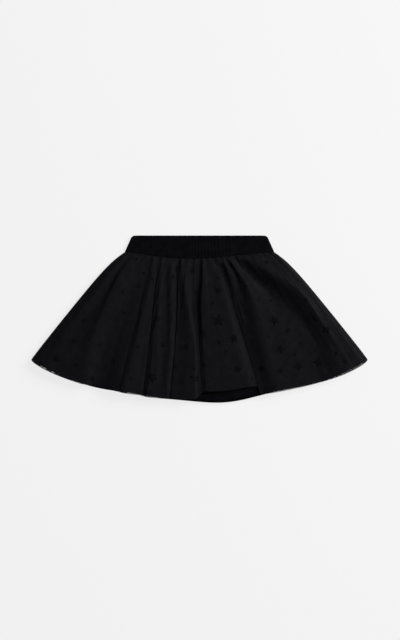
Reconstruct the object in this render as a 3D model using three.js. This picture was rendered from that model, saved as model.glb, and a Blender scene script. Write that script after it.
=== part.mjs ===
// A child's gathered tulle skirt laid flat, face up: an elastic waistband, an outer layer of net
// and a plain lining, each layer with a front and a back. Sizes are millimetres, +X runs across
// the skirt, +Y towards the waist and +Z up. The back lies on z = 0, and the origin is on that
// plane under the middle of the skirt's box.
import * as THREE from "three";

// Outline of the skirt as it lies
const SEAM_HALF_WIDTH = 112.5; // waist seam, from the middle to a side
const SEAM_SIDE_Y = 101.2; // height of the seam at the sides
const SEAM_DIP = 9.8; // the seam's middle lies this much lower
const SKIRT_LENGTH = 214; // from the seam to the hem, down the side
const SIDE_LEAN = (41 * Math.PI) / 180; // the sides lean out from the waist by this
const HEM_DIP = 60.5; // the hem's middle lies this much lower than its corners
const SHOULDER = 11; // how far the gathers push the sides out below the seam
const SHOULDER_REACH = 0.1; // share of the length in which the shoulder swells
const SHOULDER_FADE = 0.7; // below 1, the shoulder lasts longer on its way down
const SEAM_BEND = 1.6; // how pointed the seam's dip is, as the power of a round arch
const SEAM_SKEW = 0.12; // share of the half width by which the dip lies left of the middle
const HEM_BEND = 0.76;
const HEM_PART = 0.3; // what shapes the hem begins at this share of the length

// Waistband
const BAND_TOP_Y = 125.2;
const BAND_TOP_HALF_WIDTH = 101.5;
const BAND_CORNER = 4; // radius of the rounded top corners
const BAND_RIBS = 40; // small gathers of the elastic across the front
const RIB_DEPTH = 0.35;
const BAND_EDGE_ROUND = 0.7;
const BAND_ROWS = [0, 0.05, 0.14, 0.3, 1]; // shares of the way from the top edge to the seam
const BAND_INNER_ROWS = [0, 0.3, 1];
const STEPS_PER_RIB = 2;
const BAND_TURN_STEPS = 5; // round each folded side
const BAND_BACK_STEPS = 24;

// Walls and the room between them
const WALL = 1.0;
const GAP = 0.3;
const LAYER = WALL + GAP;
const BAND_WALL = 2 * WALL + GAP; // as thick as the two layers it is sewn to
const BAND_THICKNESS = 2 * BAND_WALL + GAP;

// Folds
const TURN = 0.75; // radius of a folded edge's turn, to the middle of the wall
const SHORTEST_TUCK = 0.3; // length of the middle layer where a fold begins
const TUCK_GROWTH = 0.8; // below 1, the tucks widen early on their way down
const LEAD_IN = 1.2; // flat cloth before a fold, in radii of its turn
const GATHERS = 22; // puckers across the front, under the seam
const GATHER_HEIGHT = 0.9;
const GATHER_REACH = 0.2; // share of the length over which they fade
const FLAT_AT_SEAM = 0.3; // share of their height that the folds keep at the waist seam
const FLAT_REACH = 0.05; // share of the length by which they have all of it
const SIDE_FALL = 4.5; // width of the strip in which the front comes down to the side seam
const SIDE_FALL_STARTS = 0.05; // between these shares of the length the strip forms
const SIDE_FALL_WHOLE = 0.15;

// Lining
const LINING_INSET = 7; // its sides lie this far inside the net's
const LINING_SEAM_INSET = 2.5; // and this far at the waist
const LINING_NARROWS = 0.06; // share of the length by which it has its full inset
const LINING_STEPS = 30; // steps across it
const LINING_CORNER_RISE = 4; // its hem is this much shorter at the corners
const LINING_CORNER_STARTS = 0.6; // the rise starts at this share of the half width
const LINING_HEM = [
  { name: "low middle", at: 0.15, width: 0.2, drop: 4.9 },
  { name: "raised right", at: 0.5, width: 0.2, drop: -3.5 },
  { name: "raised left", at: -0.42, width: 0.15, drop: -2.5 },
];
const LINING_FRONT_SHORTER = 2.5;
const LINING_WAVES = 5;
const LINING_WAVE_HEIGHT = 0.9;

// Where the sections of each panel lie, as shares of the length from seam to hem
const NET_SECTIONS = [0, 0.03, 0.07, 0.12, 0.19, 0.28, 0.39, 0.51, 0.63, 0.75, 0.86, 0.94, 1];
const BACK_SECTIONS = [0, 0.12, 0.25, 0.33, 0.4, 0.55, 0.7, 0.85, 1];
const LINING_SECTIONS = [0, 0.08, 0.16, 0.25, 0.45, 0.65, 0.85, 1];

// A row of a fold table is a crest, which is a high or low line of the cloth, or an edge that
// faces left or right, where the cloth doubles back under itself by "tuck". "line" says where it
// runs, as shares of the half width at five stations from the seam to the hem. "rise" is its
// height above the lowest layer at the same stations, "base" is that of the cloth that goes
// under an edge, and "lift" is how far the hem is pulled up there.
const STATIONS = [0, 0.12, 0.32, 0.62, 1]; // shares of the length
const crest = (name, line, rise, lift) => ({ name, line, rise, lift });
const foldedOver = (name, facing, line, base, tuck, lift) => ({
  name,
  facing,
  line,
  base,
  tuck,
  lift,
});

// From the left side to the right
const FRONT_FOLDS = [
  crest("left side", [-1, -1, -1, -1, -1], [0, 0, 0, 0, 0], 0),
  crest("left turn", [-0.951, -0.96, -0.967, -0.973, -0.978], [0.6, 2, 2.6, 3, 3], 0),
  crest("outer ridge", [-0.917, -0.913, -0.912, -0.935, -0.913], [1.4, 4, 6, 6.4, 5.5], 0),
  crest("outer valley", [-0.884, -0.87, -0.845, -0.86, -0.843], [0.8, 2.6, 4.2, 5, 4.8], 0),
  crest("leaning ridge", [-0.808, -0.818, -0.791, -0.751, -0.7], [2, 5.5, 7.8, 8, 5.6], 0),
  crest("left valley", [-0.754, -0.66, -0.63, -0.651, -0.61], [0.8, 2.4, 3, 1.8, 0.2], 3),
  foldedOver("first edge", "left", [-0.64, -0.55, -0.514, -0.49, -0.472], [0.3, 1.2, 2.8, 4.8, 6.2], 8, 1.6),
  crest("first ridge", [-0.608, -0.522, -0.487, -0.466, -0.45], [3.2, 4.6, 6, 8, 9.4], 1),
  crest("first slope", [-0.56, -0.485, -0.425, -0.382, -0.35], [1.6, 3.2, 4.4, 5.4, 6.4], 1.5),
  foldedOver("second edge", "left", [-0.52, -0.46, -0.4, -0.355, -0.32], [0.3, 1, 2.6, 3.8, 4], 7, 0.5),
  crest("second ridge", [-0.493, -0.43, -0.37, -0.33, -0.298], [3.3, 5, 6.6, 7.4, 7.8], 0),
  crest("shallow dip", [-0.435, -0.373, -0.3, -0.253, -0.236], [1.8, 3.4, 4.4, 5.2, 5.6], 0),
  crest("third ridge", [-0.371, -0.317, -0.259, -0.212, -0.203], [2.8, 5, 6, 6.6, 6.8], 0),
  foldedOver("third edge", "left", [-0.29, -0.24, -0.2, -0.176, -0.172], [0.2, 0.8, 1.8, 2.8, 3.4], 6, 0),
  crest("centre ridge", [-0.233, -0.179, -0.108, -0.036, -0.027], [2.8, 6.4, 8, 8.2, 7.6], 1),
  crest("centre shade", [-0.082, -0.05, -0.066, -0.014, 0.006], [0.6, 1.2, 1.4, 2.4, 3.6], 6),
  foldedOver("centre edge", "left", [0.008, 0.01, -0.006, 0.008, 0.036], [0.4, 1, 1.4, 2.2, 3.2], 14, 12),
  crest("panel left", [0.036, 0.034, 0.018, 0.03, 0.056], [3.6, 6.6, 7.2, 7.2, 7.4], 12.4),
  crest("panel middle", [0.12, 0.14, 0.14, 0.15, 0.17], [2.4, 4.8, 5.6, 6, 6.4], 12.6),
  crest("panel right", [0.165, 0.21, 0.25, 0.285, 0.305], [2.2, 4, 4.6, 5, 5.6], 15.6),
  foldedOver("panel edge", "right", [0.2, 0.246, 0.292, 0.334, 0.359], [0.2, 0.3, 0.5, 0.8, 1.2], 18, 15),
  crest("short ridge", [0.279, 0.325, 0.385, 0.388, 0.398], [2.6, 4.8, 5.4, 4.4, 4], 2),
  crest("short dip", [0.312, 0.366, 0.43, 0.42, 0.426], [1.4, 2.6, 4, 5, 5], 2),
  crest("bright ridge", [0.342, 0.4, 0.474, 0.455, 0.455], [3.2, 7, 8.4, 8, 7], 2),
  crest("bright slope", [0.368, 0.438, 0.54, 0.56, 0.56], [2, 4.4, 5.4, 5.6, 5.4], 2),
  crest("sweeping valley", [0.406, 0.484, 0.645, 0.765, 0.72], [0.4, 0.8, 1.4, 2.4, 2.8], 1),
  crest("right shoulder", [0.55, 0.707, 0.872, 0.895, 0.862], [3, 8.4, 10.2, 8, 7], 0),
  crest("right turn", [0.951, 0.96, 0.967, 0.973, 0.978], [0.6, 4.6, 7.6, 6.6, 6], 0),
  crest("right side", [1, 1, 1, 1, 1], [0, 0, 0, 0, 0], 0),
];

// The back's folds are pressed flat by the front's weight, so its crests all touch the table
// and "rise" is how near the table a line comes, up to the height of a folded edge.
const BACK_OPENS = 0.25; // share of the length by which the back has its full height
const BACK_TOP = 4 * TURN;
const PRESSED = [BACK_TOP, BACK_TOP, BACK_TOP, BACK_TOP, BACK_TOP];
const EASED = [BACK_TOP, 2.7, 2.2, 1.6, 1.5];
const BACK_FOLDS = [
  crest("left side", [-1, -1, -1, -1, -1], PRESSED, 0),
  crest("left ease", [-0.86, -0.87, -0.87, -0.87, -0.87], EASED, 0),
  crest("left flat", [-0.7, -0.71, -0.71, -0.72, -0.73], PRESSED, 0),
  foldedOver("left edge", "right", [-0.5, -0.51, -0.51, -0.52, -0.53], [0, 0, 0, 0, 0], 12, 1.5),
  crest("inner flat", [-0.36, -0.36, -0.36, -0.37, -0.38], PRESSED, 2.5),
  foldedOver("inner edge", "right", [-0.2, -0.19, -0.18, -0.17, -0.16], [0, 0, 0, 0, 0], 16, 0.5),
  crest("centre flat", [-0.05, -0.05, -0.05, -0.04, -0.03], PRESSED, 0),
  crest("centre ease", [0.06, 0.06, 0.06, 0.07, 0.08], EASED, 0),
  foldedOver("right edge", "left", [0.2, 0.2, 0.2, 0.21, 0.23], [0, 0, 0, 0, 0], 14, 1),
  crest("right flat", [0.36, 0.37, 0.37, 0.38, 0.4], PRESSED, 3),
  foldedOver("outer edge", "left", [0.52, 0.53, 0.55, 0.56, 0.58], [0, 0, 0, 0, 0], 12, 3),
  crest("outer flat", [0.75, 0.76, 0.77, 0.78, 0.78], PRESSED, 0),
  crest("outer ease", [0.86, 0.87, 0.87, 0.87, 0.87], EASED, 0),
  crest("right side", [1, 1, 1, 1, 1], PRESSED, 0),
];

const mix = (a, b, t) => a + (b - a) * t;
const ease = (low, high, value) => THREE.MathUtils.smoothstep(value, low, high);
const towardsHem = (down) => ease(HEM_PART, 1, down);

// A smooth curve through the values at the stations
function through(down, values) {
  const last = STATIONS.length - 1;
  const slope = (k) => {
    const before = Math.max(k - 1, 0);
    const after = Math.min(k + 1, last);
    return (values[after] - values[before]) / (STATIONS[after] - STATIONS[before]);
  };
  const k = Math.max(0, STATIONS.findLastIndex((station, i) => i < last && down >= station));
  const span = STATIONS[k + 1] - STATIONS[k];
  const t = (down - STATIONS[k]) / span;
  const bend = t * (1 - t) * span;
  const straight = mix(values[k], values[k + 1], ease(0, 1, t));
  return straight + bend * ((1 - t) * slope(k) - t * slope(k + 1));
}

// Half the skirt's width at a share of the way down
function halfWidth(down) {
  const flare = SEAM_HALF_WIDTH + down * SKIRT_LENGTH * Math.sin(SIDE_LEAN);
  const swell = (1 - Math.exp(-down / SHOULDER_REACH)) * Math.pow(1 - down, SHOULDER_FADE);
  return flare + SHOULDER * swell;
}

// Y of the cloth at a share of the half width and a share of the way down
function clothY(across, down) {
  const inside = Math.max(0, 1 - across * across);
  const skewed = across + SEAM_SKEW * (1 - down) * inside;
  const arch = Math.pow(Math.max(0, 1 - skewed * skewed), mix(SEAM_BEND, HEM_BEND, down));
  const sideY = SEAM_SIDE_Y - down * SKIRT_LENGTH * Math.cos(SIDE_LEAN);
  return sideY - mix(SEAM_DIP, HEM_DIP, down) * arch;
}

// Heights of the middle of each layer. They lie closer at the seam, where the back's folds end.
const opening = (down) => ease(0, BACK_OPENS, down) * BACK_TOP;
const liningBackZ = (down) => WALL / 2 + LAYER + opening(down);
const liningFrontZ = (down) => liningBackZ(down) + LAYER;
const netFrontZ = (down) => liningFrontZ(down) + LAYER + liningWaveHeight(down);

// Soft waves that both linings share, so that they stay the same distance apart
const liningWaveHeight = (down) => LINING_WAVE_HEIGHT * towardsHem(down);

function liningWave(across, down) {
  const wave = 0.5 - 0.5 * Math.cos(Math.PI * LINING_WAVES * (across + 1));
  return liningWaveHeight(down) * wave;
}

// Points {x, rise} of a folded edge at x = edge that faces left: the cloth comes in low from
// the left, turns back under itself for the length of the tuck, and turns again at the edge to
// run right on top. "turned" goes from 0, hardly bent, to 1, folded right over.
function foldedEdge(edge, tuck, turned, turnSteps) {
  const chord = 2 * TURN * Math.sin(Math.PI / (2 * turnSteps)) * mix(0.5, 1, turned);
  const leadIn = mix(LEAD_IN * TURN, (LEAD_IN + 1) * TURN + tuck, turned);
  const steps = [{ heading: 0, length: leadIn }];
  for (let i = 0; i < turnSteps; i += 1) {
    steps.push({ heading: (Math.PI * turned * (i + 0.5)) / turnSteps, length: chord });
  }
  const back = [...steps.slice(1)].reverse();
  steps.push({ heading: Math.PI * turned, length: tuck }, ...back);
  const path = [{ x: 0, rise: 0 }];
  for (const { heading, length } of steps) {
    const { x, rise } = path[path.length - 1];
    path.push({ x: x + length * Math.cos(heading), rise: rise + length * Math.sin(heading) });
  }
  const end = path[path.length - 1];
  const squeeze = Math.min(1, (4 * TURN) / end.rise);
  return path.map(({ x, rise }) => ({ x: x - end.x + edge + TURN, rise: rise * squeeze }));
}

// The points that one row of a fold table gives a section
function rowPoints(row, down, style) {
  const across = through(down, row.line);
  if (!row.facing) {
    return [{ x: across * halfWidth(down), rise: through(down, row.rise), lift: row.lift }];
  }
  const tuck = SHORTEST_TUCK + row.tuck * Math.pow(ease(style.tuckStart, 1, down), TUCK_GROWTH);
  const side = row.facing === "left" ? 1 : -1;
  const edge = side * across * halfWidth(down);
  const path = foldedEdge(edge, tuck, style.turned(down), style.turnSteps);
  const base = through(down, row.base);
  const points = path.map(({ x, rise }) => ({ x: side * x, rise: base + rise, lift: row.lift }));
  return side === 1 ? points : points.reverse();
}

// A section across a panel. Between two rows of the table the cloth runs in a soft wave, whose
// number of steps is the same all the way down.
function section(folds, down, style) {
  const points = [];
  folds.forEach((row, index) => {
    const here = rowPoints(row, down, style);
    if (index > 0) {
      const before = points[points.length - 1];
      const steps = waveSteps(folds[index - 1], row, style);
      for (let i = 1; i < steps; i += 1) {
        const t = i / steps;
        points.push({
          x: mix(before.x, here[0].x, t),
          rise: mix(before.rise, here[0].rise, ease(0, 1, t)),
          lift: mix(before.lift, here[0].lift, t),
        });
      }
    }
    points.push(...here);
  });
  return points;
}

function waveSteps(rowBefore, row, style) {
  const width = (row.line[0] - rowBefore.line[0]) * SEAM_HALF_WIDTH;
  return Math.max(style.fewestSteps, Math.round(width / style.stepWidth));
}

const FRONT_STYLE = {
  turned: (down) => ease(0.02, 0.14, down),
  tuckStart: 0.08,
  turnSteps: 4,
  fewestSteps: 2,
  stepWidth: 2.6,
};

const BACK_STYLE = {
  turned: (down) => ease(0.25, 0.4, down),
  tuckStart: 0.36,
  turnSteps: 4,
  fewestSteps: 3,
  stepWidth: 6,
};

// The folds are drawn nearly flat where the band holds them
const fullness = (down) => mix(FLAT_AT_SEAM, 1, ease(0, FLAT_REACH, down));

// Puckers under the waist seam
function gather(across, down) {
  const wave = 0.5 - 0.5 * Math.cos(Math.PI * GATHERS * (across + 1));
  const fade = (1 - ease(0, GATHER_REACH, down)) * ease(0, 0.04, 1 - Math.abs(across));
  return GATHER_HEIGHT * wave * fade;
}

// How far the front has come down to the side seam, from 0 inside to 1 at the side
function sideFall(x, down) {
  const inStrip = ease(0, 1, 1 - (halfWidth(down) - Math.abs(x)) / SIDE_FALL);
  return inStrip * ease(SIDE_FALL_STARTS, SIDE_FALL_WHOLE, down);
}

function netFrontSection(down) {
  return section(FRONT_FOLDS, down, FRONT_STYLE).map(({ x, rise, lift }) => {
    const across = x / halfWidth(down);
    const inside = netFrontZ(down) + rise * fullness(down) + gather(across, down);
    const z = mix(inside, WALL / 2 + LAYER, sideFall(x, down));
    return new THREE.Vector3(x, clothY(across, down) + lift * towardsHem(down), z);
  });
}

function netBackSection(down) {
  return section(BACK_FOLDS, down, BACK_STYLE).map(({ x, rise, lift }) => {
    const across = x / halfWidth(down);
    const z = WALL / 2 + (BACK_TOP - rise) * ease(0, BACK_OPENS, down);
    return new THREE.Vector3(x, clothY(across, down) + lift * towardsHem(down), z);
  });
}

// The lining has no folded edges, only a few soft waves
function liningSection(down, middleZ, shorter) {
  const points = [];
  for (let i = 0; i <= LINING_STEPS; i += 1) {
    const share = Math.sin(((i / LINING_STEPS) * 2 - 1) * (Math.PI / 2));
    const inset = mix(LINING_SEAM_INSET, LINING_INSET, ease(0, LINING_NARROWS, down));
    const x = share * (halfWidth(down) - inset);
    const corner = LINING_CORNER_RISE * ease(LINING_CORNER_STARTS, 1, Math.abs(share));
    let hemShift = corner + shorter;
    for (const { at, width, drop } of LINING_HEM) {
      hemShift -= drop * Math.exp(-(((share - at) / width) ** 2));
    }
    const y = clothY(x / halfWidth(down), down) + hemShift * towardsHem(down);
    points.push(new THREE.Vector3(x, y, middleZ(down) + liningWave(share, down)));
  }
  return points;
}

// How far each point of a grid moves, per millimetre, so that both faces of the wall stay
// parallel to the cloth on either side of it. Along the seam the cloth counts as running
// straight down from the band, so that the cut edge stays in its own plane.
function gridNormals(grid) {
  const lastRow = grid.length - 1;
  return grid.map((row, j) =>
    row.map((point, i) => {
      const downwards = grid[Math.min(j + 1, lastRow)][i].clone().sub(grid[Math.max(j - 1, 0)][i]);
      if (j === 0) downwards.set(0, -1, 0);
      const faceNormal = (k) => downwards.clone().cross(row[k + 1].clone().sub(row[k])).normalize();
      const left = faceNormal(Math.max(i - 1, 0));
      const right = faceNormal(Math.min(i, row.length - 2));
      return left.clone().add(right).divideScalar(1 + left.dot(right));
    }),
  );
}

// A closed mesh from points and triangles, turned so that its faces point out
function closedGeometry(points, triangles) {
  let volume = 0;
  for (const [a, b, c] of triangles) {
    volume += points[a].dot(points[b].clone().cross(points[c]));
  }
  const turned = volume < 0 ? triangles.map(([a, b, c]) => [a, c, b]) : triangles;
  const geometry = new THREE.BufferGeometry().setFromPoints(points);
  geometry.setIndex(turned.flat());
  geometry.computeVertexNormals();
  return geometry;
}

// A cloth wall round a grid of middle points: an upper face, a lower face and the rims
function wallGeometry(grid) {
  const normals = gridNormals(grid);
  const columns = grid[0].length;
  const count = grid.length * columns;
  const at = (j, i, lower) => j * columns + i + (lower ? count : 0);
  const side = (half) =>
    grid.flatMap((row, j) => row.map((p, i) => p.clone().addScaledVector(normals[j][i], half)));
  const points = [...side(WALL / 2), ...side(-WALL / 2)];
  const triangles = [];
  const quad = (a, b, c, d) => triangles.push([a, b, c], [a, c, d]);
  for (let j = 0; j + 1 < grid.length; j += 1) {
    for (let i = 0; i + 1 < columns; i += 1) {
      quad(at(j, i), at(j + 1, i), at(j + 1, i + 1), at(j, i + 1));
      quad(at(j, i, true), at(j, i + 1, true), at(j + 1, i + 1, true), at(j + 1, i, true));
    }
    quad(at(j, 0), at(j, 0, true), at(j + 1, 0, true), at(j + 1, 0));
    const end = columns - 1;
    quad(at(j, end), at(j + 1, end), at(j + 1, end, true), at(j, end, true));
  }
  for (let i = 0; i + 1 < columns; i += 1) {
    quad(at(0, i), at(0, i + 1), at(0, i + 1, true), at(0, i, true));
    const last = grid.length - 1;
    quad(at(last, i), at(last, i, true), at(last, i + 1, true), at(last, i + 1));
  }
  return closedGeometry(points, triangles);
}

// Half the waistband's width at a share of the way from its top edge to the seam
function bandHalfWidth(share) {
  const straight = mix(BAND_TOP_HALF_WIDTH, SEAM_HALF_WIDTH, share);
  const inCorner = Math.max(0, 1 - (share * (BAND_TOP_Y - SEAM_SIDE_Y)) / BAND_CORNER);
  return straight - BAND_CORNER * (1 - Math.sqrt(1 - inCorner * inCorner));
}

// A ring round the flattened waistband, as { x, z, upper }: across the front, round the right
// fold, back across the underside and round the left fold
function bandRing(halfWide, low, high) {
  const radius = (high - low) / 2;
  const flat = halfWide - radius;
  const ring = [];
  const frontSteps = BAND_RIBS * STEPS_PER_RIB;
  for (let i = 0; i < frontSteps; i += 1) {
    ring.push({ x: mix(-flat, flat, i / frontSteps), z: high, upper: true });
  }
  for (let i = 0; i < BAND_TURN_STEPS; i += 1) {
    const angle = Math.PI * (0.5 - i / BAND_TURN_STEPS);
    ring.push({ x: flat + radius * Math.cos(angle), z: low + radius * (1 + Math.sin(angle)) });
  }
  for (let i = 0; i < BAND_BACK_STEPS; i += 1) {
    ring.push({ x: mix(flat, -flat, i / BAND_BACK_STEPS), z: low });
  }
  for (let i = 0; i < BAND_TURN_STEPS; i += 1) {
    const angle = Math.PI * (1.5 - i / BAND_TURN_STEPS);
    ring.push({ x: -flat + radius * Math.cos(angle), z: low + radius * (1 + Math.sin(angle)) });
  }
  return ring;
}

// Points of a ring at a share of the way from the top edge to the seam. "inset" moves the ring
// into the wall, and "ribs" is how strongly the gathers stand out on it.
function bandRow(share, inset, ribs) {
  const wide = bandHalfWidth(share) - inset;
  return bandRing(wide, inset, BAND_THICKNESS - inset).map(({ x, z, upper }) => {
    const wave = 0.5 - 0.5 * Math.cos((x / wide + 1) * BAND_RIBS * Math.PI);
    const seamY = clothY(THREE.MathUtils.clamp(x / SEAM_HALF_WIDTH, -1, 1), 0) + GAP;
    return new THREE.Vector3(x, mix(BAND_TOP_Y, seamY, share), z + (upper ? ribs * wave : 0));
  });
}

// The waistband is one loop laid flat: ribbed outside, plain inside
function waistbandGeometry() {
  const outside = BAND_ROWS.map((share) =>
    bandRow(share, share === 0 ? BAND_EDGE_ROUND : 0, RIB_DEPTH),
  );
  const inside = BAND_INNER_ROWS.map((share) => bandRow(share, BAND_WALL, 0)).reverse();
  const rows = [...outside, ...inside];
  const count = rows[0].length;
  const triangles = [];
  rows.forEach((_, j) => {
    const next = (j + 1) % rows.length;
    for (let i = 0; i < count; i += 1) {
      const side = (i + 1) % count;
      const corner = next * count + side;
      triangles.push([j * count + i, next * count + i, corner]);
      triangles.push([j * count + i, corner, j * count + side]);
    }
  });
  return closedGeometry(rows.flat(), triangles);
}

function cloth(name, geometry, colour, roughness) {
  const material = new THREE.MeshStandardMaterial({ color: colour, roughness, metalness: 0 });
  const mesh = new THREE.Mesh(geometry, material);
  mesh.name = name;
  return mesh;
}

const skirt = new THREE.Group();
skirt.add(
  cloth("waistband", waistbandGeometry(), 0x0b0b0d, 0.95),
  cloth("tulle_front", wallGeometry(NET_SECTIONS.map(netFrontSection)), 0x17171b, 0.85),
  cloth("tulle_back", wallGeometry(BACK_SECTIONS.map(netBackSection)), 0x17171b, 0.85),
  cloth(
    "lining_front",
    wallGeometry(
      LINING_SECTIONS.map((down) => liningSection(down, liningFrontZ, LINING_FRONT_SHORTER)),
    ),
    0x09090b,
    0.9,
  ),
  cloth(
    "lining_back",
    wallGeometry(LINING_SECTIONS.map((down) => liningSection(down, liningBackZ, 0))),
    0x09090b,
    0.9,
  ),
);


// The origin goes under the middle of the skirt's box
const box = new THREE.Box3().setFromObject(skirt);
const middle = box.getCenter(new THREE.Vector3());
skirt.position.set(-middle.x, -middle.y, -box.min.z);

export default skirt;
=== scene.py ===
# %% [markdown]
# # A toddler's tulle skirt, laid flat
# The real skirt is a gathered net of fine black tulle with scattered stars, over a plain jersey
# lining, all hanging from a covered elastic. It lies on its back on a pale table and the camera
# looks straight down. The CAD solids give its size and place. Here each layer becomes a thin
# cloth with nearly the same folds, drawn more finely, and gets its net, knit and stitches.

# %% Load the frame
import math
import bpy
import numpy as np
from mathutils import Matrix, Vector


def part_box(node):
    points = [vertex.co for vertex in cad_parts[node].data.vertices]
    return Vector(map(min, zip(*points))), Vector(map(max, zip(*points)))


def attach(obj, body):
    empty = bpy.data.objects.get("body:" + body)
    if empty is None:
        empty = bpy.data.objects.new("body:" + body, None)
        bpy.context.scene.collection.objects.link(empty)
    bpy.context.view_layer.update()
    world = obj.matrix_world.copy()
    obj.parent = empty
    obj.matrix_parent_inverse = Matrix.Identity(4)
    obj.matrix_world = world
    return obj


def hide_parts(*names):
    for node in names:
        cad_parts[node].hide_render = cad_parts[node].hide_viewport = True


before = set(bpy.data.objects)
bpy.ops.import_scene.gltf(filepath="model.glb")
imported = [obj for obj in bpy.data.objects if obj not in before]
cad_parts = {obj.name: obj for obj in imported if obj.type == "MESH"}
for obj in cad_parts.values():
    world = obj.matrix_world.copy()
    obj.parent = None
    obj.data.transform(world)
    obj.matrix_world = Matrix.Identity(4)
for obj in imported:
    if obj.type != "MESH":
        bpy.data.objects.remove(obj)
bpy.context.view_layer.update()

# %% [markdown]
# ## Camera, table and light
# A flat garment is photographed from straight above on a rostrum. A long distance keeps the
# folds from leaning outwards, so the camera is high up with a longer lens. The light is one big
# soft window at the upper right, which draws the folds, and an even surround that keeps the table
# pale and almost free of shadows.

# %% Camera
MM = 0.001
SHOWN_HEIGHT = 960 * MM  # what the picture shows from top to bottom
SHOWN_MIDDLE = (0.75 * MM, -0.75 * MM)
MID_CLOTH = 10 * MM  # the camera's height is measured from the middle of the folds
CAMERA_HEIGHT = 3.0
FILM_HEIGHT = 36  # in mm, as lenses are
scene = bpy.context.scene

camera_data = bpy.data.cameras.new("camera")
camera_data.sensor_fit = "VERTICAL"
camera_data.sensor_height = FILM_HEIGHT
camera_data.lens = FILM_HEIGHT * CAMERA_HEIGHT / SHOWN_HEIGHT
camera = bpy.data.objects.new("camera", camera_data)
camera.location = (*SHOWN_MIDDLE, CAMERA_HEIGHT + MID_CLOTH)
scene.collection.objects.link(camera)
scene.camera = camera
print("lens in mm:", round(camera_data.lens, 1))

# %% Table, surround and window
scene.view_settings.view_transform = "Standard"
TABLE_SIZE = 12  # in metres
TABLE_SHADE, TABLE_GLOW = 0.12, 0.796  # mostly its own glow, so that it stays even and pale
SURROUND_STRENGTH = 0.18


def new_material(name):
    material = bpy.data.materials.new(name)
    material.use_nodes = True
    nodes = material.node_tree.nodes
    shader = nodes["Principled BSDF"]
    return material, material.node_tree, shader


bpy.ops.mesh.primitive_plane_add(size=TABLE_SIZE)
table = bpy.context.object
table.name = "table"
table_material, tree, shader = new_material("pale table")
shader.inputs["Base Color"].default_value = (TABLE_SHADE, TABLE_SHADE, TABLE_SHADE, 1)
shader.inputs["Roughness"].default_value = 0.9
shader.inputs["Specular IOR Level"].default_value = 0.0
shader.inputs["Emission Color"].default_value = (1, 1, 1, 1)
shader.inputs["Emission Strength"].default_value = TABLE_GLOW
table.data.materials.append(table_material)

surround = bpy.data.worlds.new("surround")
scene.world = surround
surround.use_nodes = True
background = surround.node_tree.nodes["Background"]
background.inputs["Color"].default_value = (1, 1, 1, 1)
background.inputs["Strength"].default_value = SURROUND_STRENGTH


def soft_box(name, power, size, place):
    """A square studio lamp that looks at the middle of the table."""
    light = bpy.data.lights.new(name, "AREA")
    light.energy = power
    light.size = size
    lamp = bpy.data.objects.new(name, light)
    lamp.location = place
    lamp.rotation_euler = (-Vector(place)).to_track_quat("-Z", "Y").to_euler()
    scene.collection.objects.link(lamp)
    return lamp


soft_box("window", power=168, size=1.7, place=(2.69, 1.27, 1.84))

# %% [markdown]
# ## The cut and lie of the skirt
# Each panel is a fan: narrow at the elastic, wide at the hem. A point on it is named by how far
# across it lies, from -1 at the left side to 1 at the right, and how far down, from 0 at the
# waist seam to 1 at the hem. These are the sizes that the solids were made with, so the cloth
# lies where they do. Only its folded edges and its sides are pressed flatter, as thin net is,
# and some folds in the tables further down were drawn closer to the real skirt's.

# %% Sizes in millimetres
SEAM_HALF_WIDTH = 112.5
SEAM_SIDE_Y = 101.2
SEAM_DIP = 9.8  # the seam's middle hangs this far below its ends
SKIRT_LENGTH = 214  # along a side
SIDE_LEAN = math.radians(41)
HEM_DIP = 60.5
SHOULDER = 11  # the sides swell outwards just under the band
SHOULDER_REACH = 0.1
SHOULDER_FADE = 0.7
SEAM_BEND = 1.6
SEAM_SKEW = 0.12
HEM_BEND = 0.76
HEM_PART = 0.3  # what only happens towards the hem starts here
WALL = 1.0  # thickness of a solid's cloth
GAP = 0.3  # between two layers
LAYER = WALL + GAP
TURN = 0.75  # radius of the turn at a folded edge
FOLD_HEIGHT = 4 * TURN
PRESSED_FOLD = 0.38  # soft net folds flatter than the solids' walls can
SHORTEST_TUCK = 0.3
TUCK_GROWTH = 0.8
LEAD_IN = 1.2
GATHERS = 22
GATHER_HEIGHT = 0.9
GATHER_REACH = 0.2
FLAT_AT_SEAM = 0.3
FLAT_REACH = 0.05
SIDE_FALL = 1.2  # narrower than in the solids, so that the side turns over like a soft fold
SIDE_FALL_STARTS = 0.05
SIDE_FALL_WHOLE = 0.15
BACK_OPENS = 0.25
BACK_TOP = FOLD_HEIGHT
STATIONS = np.array([0, 0.12, 0.32, 0.62, 1])  # where down the skirt the fold tables give values
LINING_WAVES = 5
LINING_WAVE_HEIGHT = 0.9


def mix(a, b, t):
    return a + (b - a) * t


def ease(low, high, value):
    t = np.clip((value - low) / (high - low), 0, 1)
    return t * t * (3 - 2 * t)


def towards_hem(down):
    return ease(HEM_PART, 1, down)


def through(down, values):
    """A smooth curve through the values at the stations."""
    v = np.array(values, float)
    last = len(v) - 1
    k = min(int(np.searchsorted(STATIONS, down, side="right")) - 1, last - 1)
    before, after = np.maximum([k - 1, k], 0), np.minimum([k + 1, k + 2], last)
    slope = (v[after] - v[before]) / (STATIONS[after] - STATIONS[before])
    span = STATIONS[k + 1] - STATIONS[k]
    t = (down - STATIONS[k]) / span
    bend = t * (1 - t) * span * ((1 - t) * slope[0] - t * slope[1])
    return mix(v[k], v[k + 1], ease(0, 1, t)) + bend


def half_width(down):
    flare = SEAM_HALF_WIDTH + down * SKIRT_LENGTH * math.sin(SIDE_LEAN)
    swell = (1 - np.exp(-down / SHOULDER_REACH)) * np.power(np.maximum(0, 1 - down), SHOULDER_FADE)
    return flare + SHOULDER * swell


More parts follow.
